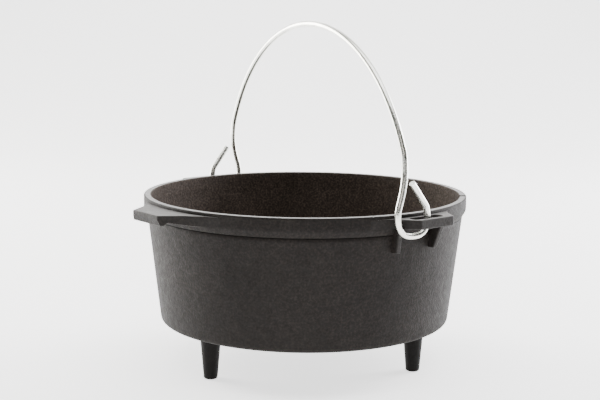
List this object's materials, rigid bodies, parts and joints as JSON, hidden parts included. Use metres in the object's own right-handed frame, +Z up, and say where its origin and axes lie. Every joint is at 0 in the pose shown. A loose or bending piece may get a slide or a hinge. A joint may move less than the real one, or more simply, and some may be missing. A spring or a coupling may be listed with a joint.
{
  "type": "legged camp dutch oven",
  "caption": "Open cast iron camp oven with a tapered pot, banded rim, short tapered legs, side grip and a hooked wire bail that swings on two slotted ears.",
  "frame": {"origin": "middle of the footprint box, on the plane the feet stand on; the pot's axis is 13.5 mm towards +Y of it because only the -Y side has a grip", "axes": "+Z up along the pot's axis, +X and -X through the two bail ears, -Y towards the lifting grip"},
  "size_m": [0.361, 0.3509, 0.3448],
  "materials": {
    "iron": "seasoned sand-cast surface with fine grain",
    "wire": "bright plated steel wire with drawn marks"
  },
  "bodies": {
    "pot": {"pot_floor": "iron", "pot_wall": "iron", "rim_band": "iron", "lifting_grip": "iron", "bail_ear_right": "iron", "bail_ear_left": "iron", "ear_rib_right_a": "iron", "ear_rib_right_b": "iron", "ear_rib_left_a": "iron", "ear_rib_left_b": "iron", "leg_1": "iron", "leg_2": "iron", "leg_3": "iron"},
    "bail": {"bail_arch": "wire", "bail_hook_right": "wire", "bail_hook_left": "wire"}
  },
  "joints": [
    {"name": "bail_swing", "type": "hinge", "parent": "pot", "child": "bail", "pos_m": [0, 0.01346, 0.1675], "axis": [0.9934, -0.115, 0], "range_deg": [-75, 80]}
  ]
}
